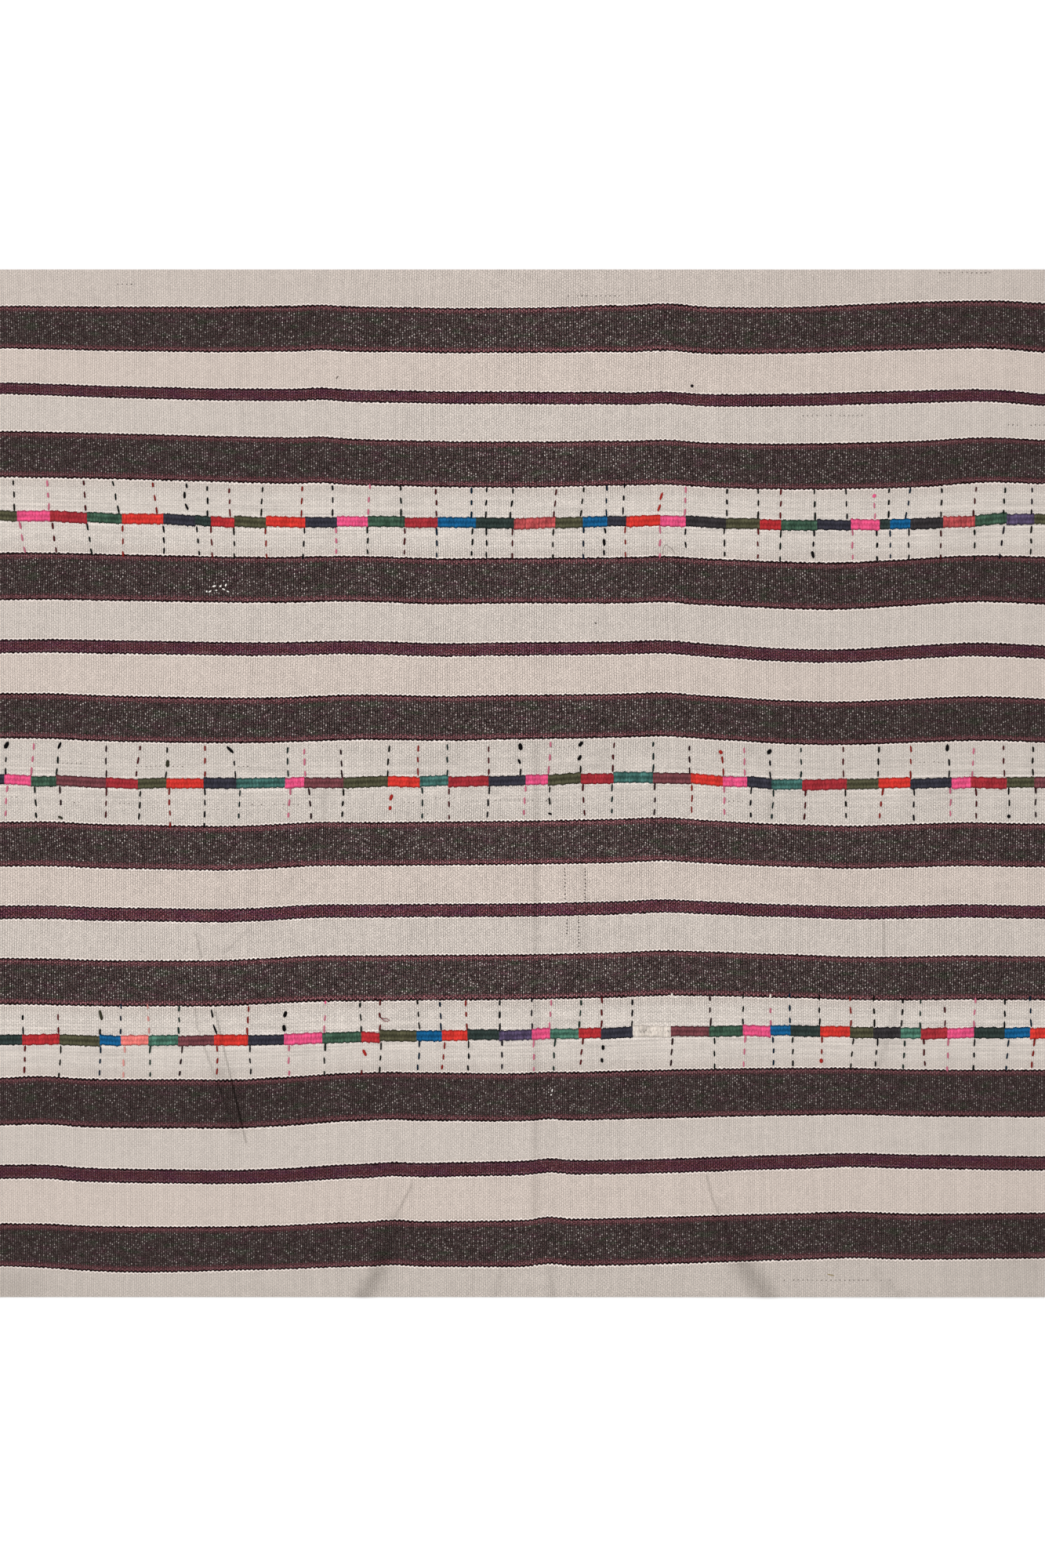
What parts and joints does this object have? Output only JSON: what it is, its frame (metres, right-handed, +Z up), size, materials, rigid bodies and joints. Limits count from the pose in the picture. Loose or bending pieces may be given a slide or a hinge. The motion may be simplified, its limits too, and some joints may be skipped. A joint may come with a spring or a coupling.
{
  "type": "kilim rug of narrow hand-woven bands sewn edge to edge",
  "caption": "Flat-woven wool rug laid out flat: narrow striped bands run lengthwise and are joined edge to edge by seams sewn in bright blocks of dyed yarn.",
  "frame": {"origin": "middle of the underside, on the surface that the rug lies on", "axes": "+X along the bands and their stripes, +Y across the bands, +Z up through the cloth"},
  "size_m": [1, 0.97, 0.0026],
  "materials": {
    "woven_wool": "matt ribbed hand-woven wool, undyed cream with charcoal and plum stripes",
    "dyed_yarn": "thick hand-dyed wool yarn in many bright colours, softly lustrous"
  },
  "bodies": {
    "root": {"band_1": "woven_wool", "band_2": "woven_wool", "band_3": "woven_wool", "band_4": "woven_wool"}
  },
  "joints": []
}
